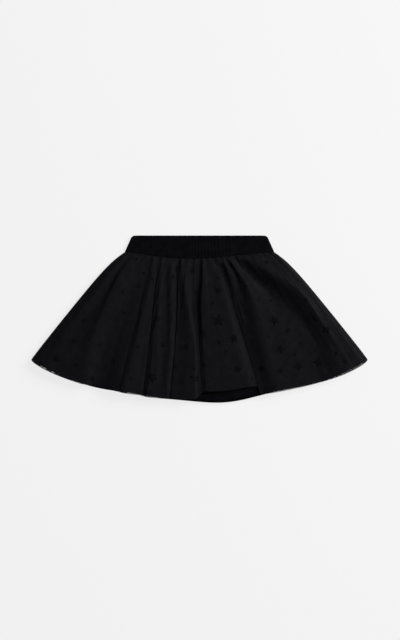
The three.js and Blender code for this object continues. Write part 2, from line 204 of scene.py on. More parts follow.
def cloth_y(across, down):
    inside = np.maximum(0, 1 - across * across)
    skewed = across + SEAM_SKEW * (1 - down) * inside
    arch = np.power(np.maximum(0, 1 - skewed * skewed), mix(SEAM_BEND, HEM_BEND, down))
    side_y = SEAM_SIDE_Y - down * SKIRT_LENGTH * math.cos(SIDE_LEAN)
    return side_y - mix(SEAM_DIP, HEM_DIP, down) * arch


def lining_wave(across, down):
    wave = 0.5 - 0.5 * np.cos(math.pi * LINING_WAVES * (across + 1))
    return LINING_WAVE_HEIGHT * towards_hem(down) * wave


def lining_back_z(down):
    return WALL / 2 + LAYER + ease(0, BACK_OPENS, down) * BACK_TOP


def lining_front_z(down):
    return lining_back_z(down) + LAYER


def net_front_z(down):
    return lining_front_z(down) + LAYER + LINING_WAVE_HEIGHT * towards_hem(down)


BAND_TOP_IN_SOLIDS = 125.2
band_low, band_high = (Vector(corner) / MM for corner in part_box("waistband"))
SHIFT = np.array([(band_low.x + band_high.x) / 2, band_high.y - BAND_TOP_IN_SOLIDS, 0.0])
print("hem half width:", round(float(half_width(1.0)), 1), "mm; frame shift:", SHIFT.round(3))

# %% [markdown]
# ## Where the folds run
# A fold is a line from the waist to the hem. A crest is a high or low line of the cloth. At a
# folded edge the net doubles back under itself by its tuck, like a soft pleat. A cloth simulation
# would drop the folds somewhere else, so they are laid one by one: the rows are read off the real
# skirt from left to right. The light comes from the upper right, so dark flanks rise to the right
# and bright ones fall. A line holds places across, one for each station, and a rise or a base
# holds heights in mm. A lift draws the hem up by so many mm there.


# %% Fold tables
def crest(name, line, rise, lift):
    return {"name": name, "facing": None, "line": line, "rise": rise, "lift": lift}


def folded_over(name, facing, line, base, tuck, lift):
    return {"name": name, "facing": facing, "line": line, "base": base, "tuck": tuck, "lift": lift}


FRONT_FOLDS = [
    crest("left side", [-1, -1, -1, -1, -1], [0, 0, 0, 0, 0], 0),
    crest("left turn", [-0.951, -0.96, -0.967, -0.973, -0.978], [0.6, 2, 2.6, 3, 3], 0),
    crest("outer ridge", [-0.917, -0.913, -0.912, -0.935, -0.913], [1.4, 4, 6, 6.4, 5.5], 0),
    crest("outer valley", [-0.884, -0.87, -0.842, -0.85, -0.835], [0.8, 2.4, 3.6, 4.4, 4.6], 0),
    crest("leaning ridge", [-0.808, -0.818, -0.795, -0.76, -0.7], [2, 5.5, 8, 8.4, 5.6], 0),
    crest("left valley", [-0.754, -0.66, -0.63, -0.651, -0.61], [0.8, 2.4, 3, 1.8, 0.2], 3),
    folded_over(
        "first edge", "left",
        [-0.64, -0.55, -0.514, -0.49, -0.472], [1, 2.2, 3.6, 5.6, 8.2], 8, 1.6,
    ),
    crest("first ridge", [-0.608, -0.522, -0.487, -0.466, -0.45], [2.8, 4.4, 6.2, 8.4, 10.6], 1),
    crest("first slope", [-0.56, -0.485, -0.425, -0.382, -0.35], [1.6, 3.2, 4.4, 5.4, 6.4], 1.5),
    folded_over(
        "second edge", "left",
        [-0.52, -0.46, -0.408, -0.363, -0.33], [1.3, 2.4, 3.4, 4.2, 4.6], 7, 0.5,
    ),
    crest("second ridge", [-0.493, -0.43, -0.377, -0.337, -0.306], [3, 4.6, 6.2, 7.2, 7.8], 0),
    crest("shallow dip", [-0.435, -0.373, -0.3, -0.253, -0.236], [1.8, 3.4, 4.4, 5.2, 5.6], 0),
    crest("third ridge", [-0.371, -0.317, -0.259, -0.212, -0.203], [2.8, 4.8, 5.8, 6.4, 6.6], 0),
    folded_over(
        "third edge", "left",
        [-0.29, -0.24, -0.2, -0.176, -0.172], [0.9, 2.2, 3, 3.6, 4.2], 6, 0,
    ),
    crest("centre ridge", [-0.233, -0.179, -0.108, -0.036, -0.027], [2.8, 6, 7.8, 7.8, 7.6], 1),
    crest("centre shade", [-0.082, -0.05, -0.066, -0.02, -0.006], [1.8, 3.2, 2, 4.2, 5], 6),
    folded_over(
        "centre edge", "left",
        [0.008, 0.01, -0.008, 0.003, 0.022], [1.8, 3, 1.6, 3.6, 4.4], 14, 12,
    ),
    crest("panel left", [0.036, 0.034, 0.016, 0.025, 0.042], [3.4, 6, 6.6, 6.6, 7], 12.4),
    crest("panel middle", [0.105, 0.125, 0.135, 0.15, 0.17], [2.2, 4, 5.2, 5.8, 6.4], 12.6),
    crest("panel right", [0.135, 0.205, 0.24, 0.27, 0.29], [2.2, 4, 4.6, 5, 5.6], 15.6),
    folded_over(
        "panel edge", "right",
        [0.165, 0.246, 0.285, 0.317, 0.342], [0.8, 1.4, 1, 0.2, 0.6], 18, 15,
    ),
    crest("short ridge", [0.262, 0.34, 0.33, 0.338, 0.362], [2.2, 5, 2.6, 1.2, 1.6], 2),
    crest("short dip", [0.335, 0.385, 0.385, 0.35, 0.374], [1.4, 2.8, 3.6, 1.8, 2.2], 2),
    crest("bright ridge", [0.36, 0.425, 0.474, 0.455, 0.448], [3, 6.8, 8.8, 8.6, 7.2], 2),
    crest("bright slope", [0.385, 0.455, 0.54, 0.56, 0.56], [2, 4.6, 5.4, 5.6, 5.4], 2),
    crest("sweeping valley", [0.43, 0.5, 0.645, 0.765, 0.72], [0.2, 0.4, 0.6, 1.6, 2.4], 1),
    crest("right shoulder", [0.55, 0.707, 0.872, 0.895, 0.862], [2.8, 9, 12, 9, 7.6], 0),
    crest("right turn", [0.94, 0.945, 0.95, 0.955, 0.96], [0.6, 6.2, 7.4, 6.4, 5.6], 0),
    crest("right side", [1, 1, 1, 1, 1], [0, 0, 0, 0, 0], 0),
]

PRESSED = [BACK_TOP] * len(STATIONS)
EASED = [BACK_TOP, 2.7, 2.2, 1.6, 1.5]
LOWEST = [0] * len(STATIONS)
BACK_FOLDS = [
    crest("left side", [-1, -1, -1, -1, -1], PRESSED, 0),
    crest("left ease", [-0.86, -0.87, -0.87, -0.87, -0.87], EASED, 0),
    crest("left flat", [-0.7, -0.71, -0.71, -0.72, -0.73], PRESSED, 0),
    folded_over("left edge", "right", [-0.5, -0.51, -0.51, -0.52, -0.53], LOWEST, 12, 1.5),
    crest("inner flat", [-0.36, -0.36, -0.36, -0.37, -0.38], PRESSED, 2.5),
    folded_over("inner edge", "right", [-0.2, -0.19, -0.18, -0.17, -0.16], LOWEST, 16, 0.5),
    crest("centre flat", [-0.05, -0.05, -0.05, -0.04, -0.03], PRESSED, 0),
    crest("centre ease", [0.06, 0.06, 0.06, 0.07, 0.08], EASED, 0),
    folded_over("right edge", "left", [0.2, 0.2, 0.2, 0.21, 0.23], LOWEST, 14, 1),
    crest("right flat", [0.36, 0.37, 0.37, 0.38, 0.4], PRESSED, 3),
    folded_over("outer edge", "left", [0.52, 0.53, 0.55, 0.56, 0.58], LOWEST, 12, 3),
    crest("outer flat", [0.75, 0.76, 0.77, 0.78, 0.78], PRESSED, 0),
    crest("outer ease", [0.86, 0.87, 0.87, 0.87, 0.87], EASED, 0),
    crest("right side", [1, 1, 1, 1, 1], PRESSED, 0),
]
FRONT_STYLE = {
    "turned": lambda down: ease(0.02, 0.14, down),
    "tuck_start": 0.08,
    "step": 0.85,
}
BACK_STYLE = {
    "turned": lambda down: ease(0.25, 0.4, down),
    "tuck_start": 0.36,
    "step": 1.5,
}
print("fold rows:", len(FRONT_FOLDS), "front,", len(BACK_FOLDS), "back")

# %% [markdown]
# ## From a table to a cloth
# A section is one walk across the panel at a given height, through every row of the table. The
# walk keeps the same number of steps at each height, so neighbouring sections join into a grid
# of quads. The folded edges are drawn by turning a heading through half a circle and back.

# %% Sections
TURN_STEPS = 8
LEAD_STEPS = 4
TUCK_STEPS = 5


def folded_edge(edge, tuck, turned):
    chord = 2 * TURN * math.sin(math.pi / (2 * TURN_STEPS)) * mix(0.5, 1, turned)
    lead = mix(LEAD_IN * TURN, (LEAD_IN + 1) * TURN + tuck, turned)
    turn = [(math.pi * turned * (i + 0.5) / TURN_STEPS, chord) for i in range(TURN_STEPS)]
    steps = [(0.0, lead / LEAD_STEPS)] * LEAD_STEPS + turn
    steps += [(math.pi * turned, tuck / TUCK_STEPS)] * TUCK_STEPS + turn[::-1]
    heading, length = np.array(steps).T
    x = np.concatenate([[0], np.cumsum(length * np.cos(heading))])
    rise = np.concatenate([[0], np.cumsum(length * np.sin(heading))])
    rise = rise * min(1, FOLD_HEIGHT / rise[-1]) * PRESSED_FOLD
    return x - x[-1] + edge + TURN, rise


def row_points(row, down, style):
    across = through(down, row["line"])
    if row["facing"] is None:
        return np.array([[across * half_width(down), through(down, row["rise"]), row["lift"]]])
    tuck = SHORTEST_TUCK + row["tuck"] * ease(style["tuck_start"], 1, down) ** TUCK_GROWTH
    side = 1 if row["facing"] == "left" else -1
    x, rise = folded_edge(side * across * half_width(down), tuck, style["turned"](down))
    rise = rise + through(down, row["base"])
    points = np.stack([side * x, rise, np.full(len(x), row["lift"])], 1)
    return points if side == 1 else points[::-1]


def section(folds, down, style):
    parts = []
    for index, row in enumerate(folds):
        here = row_points(row, down, style)
        if index:
            before = parts[-1][-1]
            wide = (row["line"][0] - folds[index - 1]["line"][0]) * SEAM_HALF_WIDTH
            steps = max(3, round(wide / style["step"]))
            t = (np.arange(1, steps) / steps)[:, None]
            wave = mix(before, here[0], t)
            wave[:, 1:2] = mix(before[1], here[0][1], ease(0, 1, t))
            parts.append(wave)
        parts.append(here)
    return np.concatenate(parts)


print("points across the front at its hem:", len(section(FRONT_FOLDS, 1.0, FRONT_STYLE)))

# %% [markdown]
# ## Small creases
# Gathered net never lies quite smooth. Between the main folds run fainter creases that fan out
# from the seam, uneven in length, depth and spacing. They are laid as soft ridges and
# troughs with a Gaussian cross-section. Bump in the material could draw them too, but it would
# leave the hem smooth when that is seen from the side.


# %% Crease tables
STARTS_BEFORE, STARTS_AFTER = 0.12, 0.05  # a crease fades in and out round its ends
ENDS_BEFORE, ENDS_AFTER = 0.15, 0.1


def creases(across, down, rows):
    height = np.zeros(np.broadcast(across, down).shape)
    for at, lean, wide, tall, start, end in rows:
        line = at + lean * down
        begins = ease(start - STARTS_BEFORE, start + STARTS_AFTER, down)
        ends = ease(end - ENDS_BEFORE, end + ENDS_AFTER, down)
        height += tall * np.exp(-(((across - line) / wide) ** 2)) * begins * (1 - ends)
    return height


# at, lean, width as shares of the half width, height in mm, start and end as shares of the length
FRONT_CREASES = [
    (-0.93, 0.03, 0.012, 0.7, 0.1, 0.7),
    (-0.84, 0.0, 0.02, 0.6, 0.2, 1.1),
    (-0.80, 0.1, 0.012, -0.4, 0.3, 0.9),
    (-0.76, 0.16, 0.015, 0.5, 0.0, 0.5),
    (-0.70, 0.14, 0.011, 0.5, 0.05, 0.6),
    (-0.66, 0.11, 0.02, -0.4, 0.5, 1.1),
    (-0.575, 0.2, 0.01, 0.4, 0.1, 0.8),
    (-0.47, 0.2, 0.008, 0.4, 0.0, 0.7),
    (-0.43, 0.19, 0.012, 0.5, 0.2, 1.1),
    (-0.40, 0.2, 0.01, -0.4, 0.4, 1.1),
    (-0.23, 0.13, 0.008, 0.5, 0.0, 0.5),
    (-0.16, 0.06, 0.01, 0.5, 0.0, 0.35),
    (-0.10, 0.02, 0.014, 0.4, 0.3, 1.1),
    (0.10, 0.07, 0.008, 0.4, 0.0, 0.6),
    (0.14, 0.1, 0.01, -0.4, 0.2, 1.1),
    (0.30, 0.12, 0.008, 0.6, 0.0, 0.5),
    (0.44, 0.14, 0.01, 0.6, 0.05, 0.5),
    (0.47, 0.2, 0.016, 0.5, 0.15, 0.8),
    (0.50, 0.24, 0.012, -0.5, 0.4, 1.1),
    (0.58, 0.26, 0.02, 0.6, 0.1, 0.8),
    (0.66, 0.1, 0.014, 0.5, 0.3, 1.1),
    (0.72, 0.05, 0.018, 0.6, 0.0, 0.5),
    (0.80, 0.1, 0.012, -0.4, 0.2, 0.9),
    (0.88, 0.03, 0.012, 0.5, 0.1, 1.1),
]
BACK_CREASES = [
    (-0.88, 0.02, 0.012, 0.8, 0.1, 0.8),
    (-0.77, 0.03, 0.016, 1.0, 0.3, 1.1),
    (-0.64, 0.02, 0.010, 0.7, 0.0, 0.6),
    (-0.43, 0.03, 0.014, 1.1, 0.2, 1.1),
    (-0.31, 0.01, 0.009, 0.8, 0.4, 0.9),
    (-0.11, 0.02, 0.013, 1.0, 0.1, 0.7),
    (0.12, 0.03, 0.010, 0.8, 0.3, 1.1),
    (0.28, 0.02, 0.015, 1.1, 0.0, 0.8),
    (0.42, 0.01, 0.010, 0.7, 0.3, 1.1),
    (0.67, 0.03, 0.014, 1.0, 0.1, 0.6),
    (0.80, 0.02, 0.011, 0.9, 0.4, 1.1),
    (0.91, 0.01, 0.010, 0.7, 0.2, 0.9),
]
LINING_CREASES = [
    (-0.86, 0.04, 0.030, 0.30, 0.2, 1.1),
    (-0.63, 0.06, 0.022, 0.38, 0.0, 0.8),
    (-0.47, 0.03, 0.026, 0.28, 0.4, 1.1),
    (-0.22, 0.03, 0.020, 0.36, 0.1, 1.1),
    (-0.02, 0.01, 0.028, 0.30, 0.3, 0.9),
    (0.17, 0.03, 0.022, 0.38, 0.5, 1.1),
    (0.39, 0.05, 0.026, 0.32, 0.0, 0.7),
    (0.58, 0.04, 0.020, 0.36, 0.3, 1.1),
    (0.82, 0.02, 0.030, 0.28, 0.2, 1.1),
]


FINE_CREASES = 90
FINE_FAN = 0.05  # how much a fine crease leans, and it leans to and fro across the panel
# Steps from the golden ratio and numbers like it, so that no place, length or height repeats
STEP_ACROSS, STEP_DOWN, STEP_LONG = 0.618034, 0.7548777, 0.5698403
STEP_TALL, STEP_WIDE = 0.381966, 0.4142136


def pick(low, high, turns):
    """A value from low to high for a number of turns, of which only the part of a turn counts."""
    return mix(low, high, turns % 1)


def fine_creases(across, down):
    """Many short faint creases in a fan, every third one a trough."""
    height = np.zeros(np.broadcast(across, down).shape)
    for i in range(FINE_CREASES):
        at = pick(-0.97, 0.97, i * STEP_ACROSS)
        start = pick(-0.1, 0.9, i * STEP_DOWN)
        long = pick(0.25, 0.7, i * STEP_LONG)
        tall = pick(0.15, 0.55, i * STEP_TALL + 0.3) * (1 if i % 3 else -1)
        wide = pick(0.004, 0.01, i * STEP_WIDE)
        begins = ease(start, start + 0.3 * long, down)
        ends = ease(start + 0.6 * long, start + long, down)
        line = at + FINE_FAN * math.sin(5 * at) * (down - start)
        height += tall * np.exp(-(((across - line) / wide) ** 2)) * begins * (1 - ends)
    return height


FINE_GATHERS = 2.3 * GATHERS
FINE_GATHER_HEIGHT = 0.4
FINE_GATHERS_FADE, FINE_GATHERS_END = 0.02, 0.11
GATHERS_STOP = 0.04  # this far from the sides


def puckers(across, down):
    """Even gathers of the solids, made uneven: some puff more than others."""
    even = 0.5 - 0.5 * np.cos(math.pi * GATHERS * (across + 1))
    fine = 0.5 + 0.5 * np.cos(math.pi * FINE_GATHERS * (across + 0.1 * np.sin(9 * across)))
    uneven = 0.75 + 0.45 * np.sin(7.3 * across + 0.6) * np.cos(12.1 * across)
    edge = ease(0, GATHERS_STOP, 1 - np.abs(across))
    broad = GATHER_HEIGHT * even * uneven * (1 - ease(0, GATHER_REACH, down))
    fading = 1 - ease(FINE_GATHERS_FADE, FINE_GATHERS_END, down)
    return edge * (broad + FINE_GATHER_HEIGHT * fine * fading)


print("creases laid by hand:", len(FRONT_CREASES) + len(BACK_CREASES) + 2 * len(LINING_CREASES))

# %% [markdown]
# ## The four cloths
# Front and back of the net and of the lining are four cut panels. Each becomes a grid of points,
# because a grid keeps the threads' directions and can be unrolled again into its flat cut. The
# front of the net comes down to meet the back along the side seams. The grid is finest near the
# waist, where the gathers are.


# %% Panel grids
FIRST_ROW_SHARE = 0.55  # of the height that evenly spaced rows would have
OPENED = 0.06  # share of the length where a layer has its whole distance from the side


def rows_down(count):
    t = np.linspace(0, 1, count)
    return t * mix(FIRST_ROW_SHARE, 1, t)


def panel(folds, style, count, place):
    rows = []
    for down in rows_down(count):
        x, rise, lift = section(folds, down, style).T
        across = x / half_width(down)
        y = cloth_y(across, down) + lift * towards_hem(down)
        rows.append(np.stack([x, y, place(x, across, down, rise)], 1))
    return np.array(rows) + SHIFT


def front_place(x, across, down, rise):
    full = mix(FLAT_AT_SEAM, 1, ease(0, FLAT_REACH, down))
    inside = net_front_z(down) + rise * full + puckers(across, down)
    inside = inside + creases(across, down, FRONT_CREASES) + fine_creases(across, down)
    strip = ease(0, 1, 1 - (half_width(down) - np.abs(x)) / SIDE_FALL)
    fall = strip * ease(SIDE_FALL_STARTS, SIDE_FALL_WHOLE, down)
    return mix(inside, WALL / 2 + LAYER, fall)


def back_place(x, across, down, rise):
    """The back net. Where it lies pressed on the table, a crease lifts it a little."""
    pressed = np.clip(rise / BACK_TOP, 0, 1) * ease(0, BACK_OPENS, down)
    small = creases(across, down, BACK_CREASES) + np.abs(fine_creases(across, down))
    return WALL / 2 + (BACK_TOP - rise) * ease(0, BACK_OPENS, down) + small * pressed


LINING_INSET_AT_SEAM, LINING_INSET = 2.5, 4.6
LINING_CORNER_RISE = 3
LINING_COLUMNS = 170
# at and width as shares of the half width, drop in mm: where the hem hangs lower or higher
LINING_HEM = [(0.15, 0.2, 4.9), (0.5, 0.2, -3.5), (-0.42, 0.15, -2.5)]


def lining_panel(middle_z, shorter, crease, count=90):
    rows = []
    share = np.sin(np.linspace(-1, 1, LINING_COLUMNS) * math.pi / 2)
    for down in rows_down(count):
        inset = mix(LINING_INSET_AT_SEAM, LINING_INSET, ease(0, OPENED, down))
        x = share * (half_width(down) - inset)
        hem = LINING_CORNER_RISE * ease(0.6, 1, np.abs(share)) + shorter
        for at, wide, drop in LINING_HEM:
            hem = hem - drop * np.exp(-(((share - at) / wide) ** 2))
        y = cloth_y(x / half_width(down), down) + hem * towards_hem(down)
        small = crease * creases(share, down, LINING_CREASES)
        z = middle_z(down) + lining_wave(share, down) + small
        rows.append(np.stack([x, y, z], 1))
    return np.array(rows) + SHIFT


net_front = panel(FRONT_FOLDS, FRONT_STYLE, count=150, place=front_place)
net_back = panel(BACK_FOLDS, BACK_STYLE, count=90, place=back_place)
lining_front = lining_panel(lining_front_z, shorter=2.5, crease=1.0)
lining_back = lining_panel(lining_back_z, shorter=0, crease=-0.5)
print("grids:", net_front.shape, net_back.shape, lining_front.shape)


# %% Thin cloth from a grid
def arc(grid, axis):
    steps = np.linalg.norm(np.diff(grid, axis=axis), axis=2)
    start = np.zeros_like(steps[:, :1] if axis == 1 else steps[:1])
    return np.concatenate([start, np.cumsum(steps, axis=axis)], axis=axis)


def cut_coordinates(grid):
    """Where each point lies on the flat cut, in mm: across from the middle, and down."""
    across = arc(grid, 1)
    across = across - across[:, -1:] / 2
    return np.stack([across, arc(grid, 0)], 2)


def grid_normals(grid):
    along = np.gradient(grid, axis=1)
    down = np.gradient(grid, axis=0)
    normal = np.cross(down, along)
    return normal / np.maximum(np.linalg.norm(normal, axis=2, keepdims=True), 1e-9)


def add_mesh(name, points_mm, faces, material, cut=None, smooth=True):
    mesh = bpy.data.meshes.new(name)
    mesh.from_pydata((np.asarray(points_mm) * MM).tolist(), [], faces)
    if cut is not None:
        layer = mesh.uv_layers.new(name="cut")
        index = np.empty(len(mesh.loops), np.int32)
        mesh.loops.foreach_get("vertex_index", index)
        layer.data.foreach_set("uv", (np.asarray(cut) * MM)[index].ravel())
    mesh.validate()
    if smooth:
        mesh.shade_smooth()
    piece = bpy.data.objects.new(name, mesh)
    piece.data.materials.append(material)
    scene.collection.objects.link(piece)
    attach(piece, "root")
    return piece


def thin_cloth(name, grid, thickness, material):
    """A closed thin shell: upper face, lower face and the four rims."""
    rows, columns = grid.shape[:2]
    normal = grid_normals(grid) * thickness / 2
    points = np.concatenate([(grid + normal).reshape(-1, 3), (grid - normal).reshape(-1, 3)])
    cut = cut_coordinates(grid).reshape(-1, 2)
    a = (np.arange(rows - 1)[:, None] * columns + np.arange(columns - 1)).ravel()
    top = np.stack([a, a + columns, a + columns + 1, a + 1], 1)
    lower = rows * columns
    bottom = top[:, ::-1] + lower
    edge = np.concatenate([
        np.arange(columns - 1),
        np.arange(rows - 1) * columns + columns - 1,
        np.arange(columns - 1, 0, -1) + (rows - 1) * columns,
        np.arange(rows - 1, 0, -1) * columns,
    ])
    following = np.roll(edge, -1)
    rim = np.stack([edge, following, following + lower, edge + lower], 1)
    faces = np.concatenate([top, bottom, rim]).tolist()
    piece = add_mesh(name, points, faces, material, np.concatenate([cut, cut]))
    print(name, "triangles:", 2 * len(faces))
    return piece


# %% [markdown]
# ## Net and knit
# Tulle is a hexagonal net: the thread covers part of each cell and the rest is open, so what lies
# below shows through. Modelled thread by thread it would take millions of faces, so it is drawn
# in the material. It is drawn from the flat cut's own coordinates, so its cells keep their size
# and follow each fold. Jersey and covered elastic are knits, drawn as rows of small stitches.
# Both are node groups, so that every cloth can use them at its own scale.


# %% Node groups
class Group:
    """A node group under construction, with short ways to add and join nodes."""

    def __init__(self, name, inputs, outputs):
        self.tree = bpy.data.node_groups.new(name, "ShaderNodeTree")
        for label, kind, value in inputs:
            socket = self.tree.interface.new_socket(label, in_out="INPUT", socket_type=kind)
            if value is not None:
                socket.default_value = value
        for label, kind in outputs:
            self.tree.interface.new_socket(label, in_out="OUTPUT", socket_type=kind)
        self.source = self.tree.nodes.new("NodeGroupInput").outputs
        self.result = self.tree.nodes.new("NodeGroupOutput").inputs

    def put(self, socket, value):
        if isinstance(value, bpy.types.NodeSocket):
            self.tree.links.new(value, socket)
        else:
            socket.default_value = value

    def math(self, operation, *values, vector=False):
        node = self.tree.nodes.new("ShaderNodeVectorMath" if vector else "ShaderNodeMath")
        node.operation = operation
        for socket, value in zip(node.inputs, values):
            self.put(socket, value)
        single = vector and operation in {"DOT_PRODUCT", "LENGTH"}
        return node.outputs["Value" if single or not vector else "Vector"]

    def remap(self, value, low, high, to_low=0.0, to_high=1.0):
        node = self.tree.nodes.new("ShaderNodeMapRange")
        node.interpolation_type = "SMOOTHSTEP"
        for socket, part in zip(node.inputs, (value, low, high, to_low, to_high)):
            self.put(socket, part)
        return node.outputs["Result"]

    def noise(self, vector, scale, detail=2.0):
        node = self.tree.nodes.new("ShaderNodeTexNoise")
        self.put(node.inputs["Vector"], vector)
        self.put(node.inputs["Scale"], scale)
        node.inputs["Detail"].default_value = detail
        return node.outputs["Fac"]


FLOAT, VECTOR = "NodeSocketFloat", "NodeSocketVector"

net = Group(
    "tulle net",
    [("Cut", VECTOR, None), ("Cell", FLOAT, 0.0012), ("Thread", FLOAT, 0.4)],
    [("Cover", FLOAT), ("Height", FLOAT)],
)
per_cell = net.math("DIVIDE", 1.0, net.source["Cell"])
cell = net.math("SCALE", net.source["Cut"], vector=True)
net.put(cell.node.inputs["Scale"], per_cell)
flat_cell = net.math("MULTIPLY", cell, (1, 1, 0), vector=True)
HEX, HALF_HEX = (1.0, math.sqrt(3), 1.0), (0.5, math.sqrt(3) / 2, 0.0)


def hexagon_offset(shifted):
    wrapped = net.math("WRAP", shifted, HEX, (0, 0, 0), vector=True)
    return net.math("SUBTRACT", wrapped, HALF_HEX, vector=True)


first = hexagon_offset(flat_cell)
second = hexagon_offset(net.math("SUBTRACT", flat_cell, HALF_HEX, vector=True))
nearer = net.math(
    "LESS_THAN", net.math("LENGTH", first, vector=True), net.math("LENGTH", second, vector=True)
)
blend = net.tree.nodes.new("ShaderNodeMix")
blend.data_type = "VECTOR"
net.put(blend.inputs["Factor"], nearer)
net.put([s for s in blend.inputs if s.name == "A" and s.type == "VECTOR"][0], second)
net.put([s for s in blend.inputs if s.name == "B" and s.type == "VECTOR"][0], first)
spot = net.math("ABSOLUTE", [s for s in blend.outputs if s.type == "VECTOR"][0], vector=True)
slanted = net.math("DOT_PRODUCT", spot, (0.5, math.sqrt(3) / 2, 0), vector=True)
upright = net.math("DOT_PRODUCT", spot, (1, 0, 0), vector=True)
from_thread = net.math("SUBTRACT", 0.5, net.math("MAXIMUM", slanted, upright))
THREAD_BLUR = 0.15  # a thread's edge is this soft, as a share of its width
half_thread = net.math("MULTIPLY", net.source["Thread"], 0.5)
inner = net.math("MULTIPLY", half_thread, 1 - THREAD_BLUR)
outer = net.math("MULTIPLY", half_thread, 1 + THREAD_BLUR)
net.put(net.result["Cover"], net.remap(from_thread, inner, outer, 1.0, 0.0))
net.put(net.result["Height"], net.remap(from_thread, 0.0, outer, 1.0, 0.0))

knit = Group(
    "fine knit",
    [("Cut", VECTOR, None), ("Wale", FLOAT, 0.0008), ("Course", FLOAT, 0.0006)],
    [("Height", FLOAT), ("Shade", FLOAT)],
)
LEG_SLANT = 0.35  # the two legs of a stitch lean together like a V
PATCHES = 90.0  # soft lighter and darker patches, this many in a metre
axes = knit.tree.nodes.new("ShaderNodeSeparateXYZ")
knit.put(axes.inputs[0], knit.source["Cut"])
wale = knit.math("DIVIDE", axes.outputs["X"], knit.source["Wale"])
course = knit.math("DIVIDE", axes.outputs["Y"], knit.source["Course"])
column = knit.math("ABSOLUTE", knit.math("SINE", knit.math("MULTIPLY", wale, math.pi)))
leg = knit.math("MULTIPLY", column, LEG_SLANT)
stitch = knit.math("MULTIPLY", knit.math("ADD", course, leg), math.pi)
loop = knit.math("ABSOLUTE", knit.math("SINE", stitch))
raised = knit.math("ADD", 0.5, knit.math("MULTIPLY", loop, 0.5))
knit.put(knit.result["Height"], knit.math("MULTIPLY", column, raised))
patches = knit.noise(knit.source["Cut"], PATCHES, detail=3.0)
knit.put(knit.result["Shade"], knit.remap(patches, 0.3, 0.7))
print("node groups:", [group.name for group in bpy.data.node_groups])

# %% Materials
NET_DARK, NET_LIGHT = (0.0078, 0.0077, 0.0095, 1), (0.0098, 0.0097, 0.0120, 1)


def place_group(tree, group, **values):
    node = tree.nodes.new("ShaderNodeGroup")
    node.node_tree = group.tree
    for label, value in values.items():
        node.inputs[label.replace("_", " ")].default_value = value
    cut = tree.nodes.new("ShaderNodeUVMap")
    cut.uv_map = "cut"
    tree.links.new(cut.outputs["UV"], node.inputs["Cut"])
    return node


def add_bump(tree, shader, height, strength, distance):
    bump = tree.nodes.new("ShaderNodeBump")
    bump.inputs["Strength"].default_value = strength
    bump.inputs["Distance"].default_value = distance
    tree.links.new(height, bump.inputs["Height"])
    tree.links.new(bump.outputs["Normal"], shader.inputs["Normal"])


def add_shades(tree, shader, factor, dark, light):
    ramp = tree.nodes.new("ShaderNodeMix")
    ramp.data_type = "RGBA"
    colours = [s for s in ramp.inputs if s.type == "RGBA"]
    colours[0].default_value, colours[1].default_value = dark, light
    tree.links.new(factor, ramp.inputs["Factor"])
    result = [s for s in ramp.outputs if s.type == "RGBA"][0]
    tree.links.new(result, shader.inputs["Base Color"])


def plain_finish(shader, roughness, gloss, sheen, sheen_roughness=0.5, tint=(0.85, 0.83, 1, 1)):
    shader.inputs["Roughness"].default_value = roughness
    shader.inputs["Specular IOR Level"].default_value = gloss
    shader.inputs["Sheen Weight"].default_value = sheen
    shader.inputs["Sheen Roughness"].default_value = sheen_roughness
    shader.inputs["Sheen Tint"].default_value = tint


def tulle_material(name, cell, thread, sheen):
    material, tree, shader = new_material(name)
    plain_finish(shader, roughness=0.65, gloss=0.02, sheen=sheen)
    cells = place_group(tree, net, Cell=cell, Thread=thread)
    patches = place_group(tree, knit)
    add_shades(tree, shader, patches.outputs["Shade"], NET_DARK, NET_LIGHT)
    tree.links.new(cells.outputs["Cover"], shader.inputs["Alpha"])
    add_bump(tree, shader, cells.outputs["Height"], strength=0.3, distance=0.1 * MM)
    return material


def knit_material(name, dark, light, wale, course, sheen):
    material, tree, shader = new_material(name)
    plain_finish(shader, roughness=0.85, gloss=0.01, sheen=sheen)
    loops = place_group(tree, knit, Wale=wale, Course=course)
    add_shades(tree, shader, loops.outputs["Shade"], dark, light)
    add_bump(tree, shader, loops.outputs["Height"], strength=0.6, distance=0.3 * MM)
    return material


tulle = tulle_material("black tulle", cell=1.1 * MM, thread=0.46, sheen=0.02)
JERSEY_DARK, JERSEY_LIGHT = (0.0028, 0.0028, 0.0036, 1), (0.0042, 0.0042, 0.0052, 1)
jersey = knit_material(
    "black jersey", JERSEY_DARK, JERSEY_LIGHT, wale=0.9 * MM, course=0.7 * MM, sheen=0.01
)
print("materials:", [m.name for m in bpy.data.materials])

# %% [markdown]
# ## Lay the cloths
# From the table upwards lie the back of the net, the two linings and the front of the net. Real
# net and jersey are thinner than the solids' walls, so each is a thin closed shell in the middle
# of its wall. It could be a single face with no thickness, but a shell has an edge that catches
# the light.

# %% Lay the four cloths
NET_THICKNESS, JERSEY_THICKNESS = 0.3, 0.6
pieces = {
    "net_front": thin_cloth("net_front", net_front, NET_THICKNESS, tulle),
    "net_back": thin_cloth("net_back", net_back, NET_THICKNESS, tulle),
    "jersey_front": thin_cloth("jersey_front", lining_front, JERSEY_THICKNESS, jersey),
    "jersey_back": thin_cloth("jersey_back", lining_back, JERSEY_THICKNESS, jersey),
}
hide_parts("tulle_front")
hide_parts("tulle_back")
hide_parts("lining_front")
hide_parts("lining_back")

# %% [markdown]
# ## Covered elastic
# The band is one loop of doubled knit with an elastic inside, flattened on the table. Relaxed
# elastic draws its cover into fine upright gathers, which are strongest just right of the middle.
# Further right, where the loop was joined, the top edge dips twice. The loop is built from
# flattened rings, one under the other, so that it is hollow like the real one.

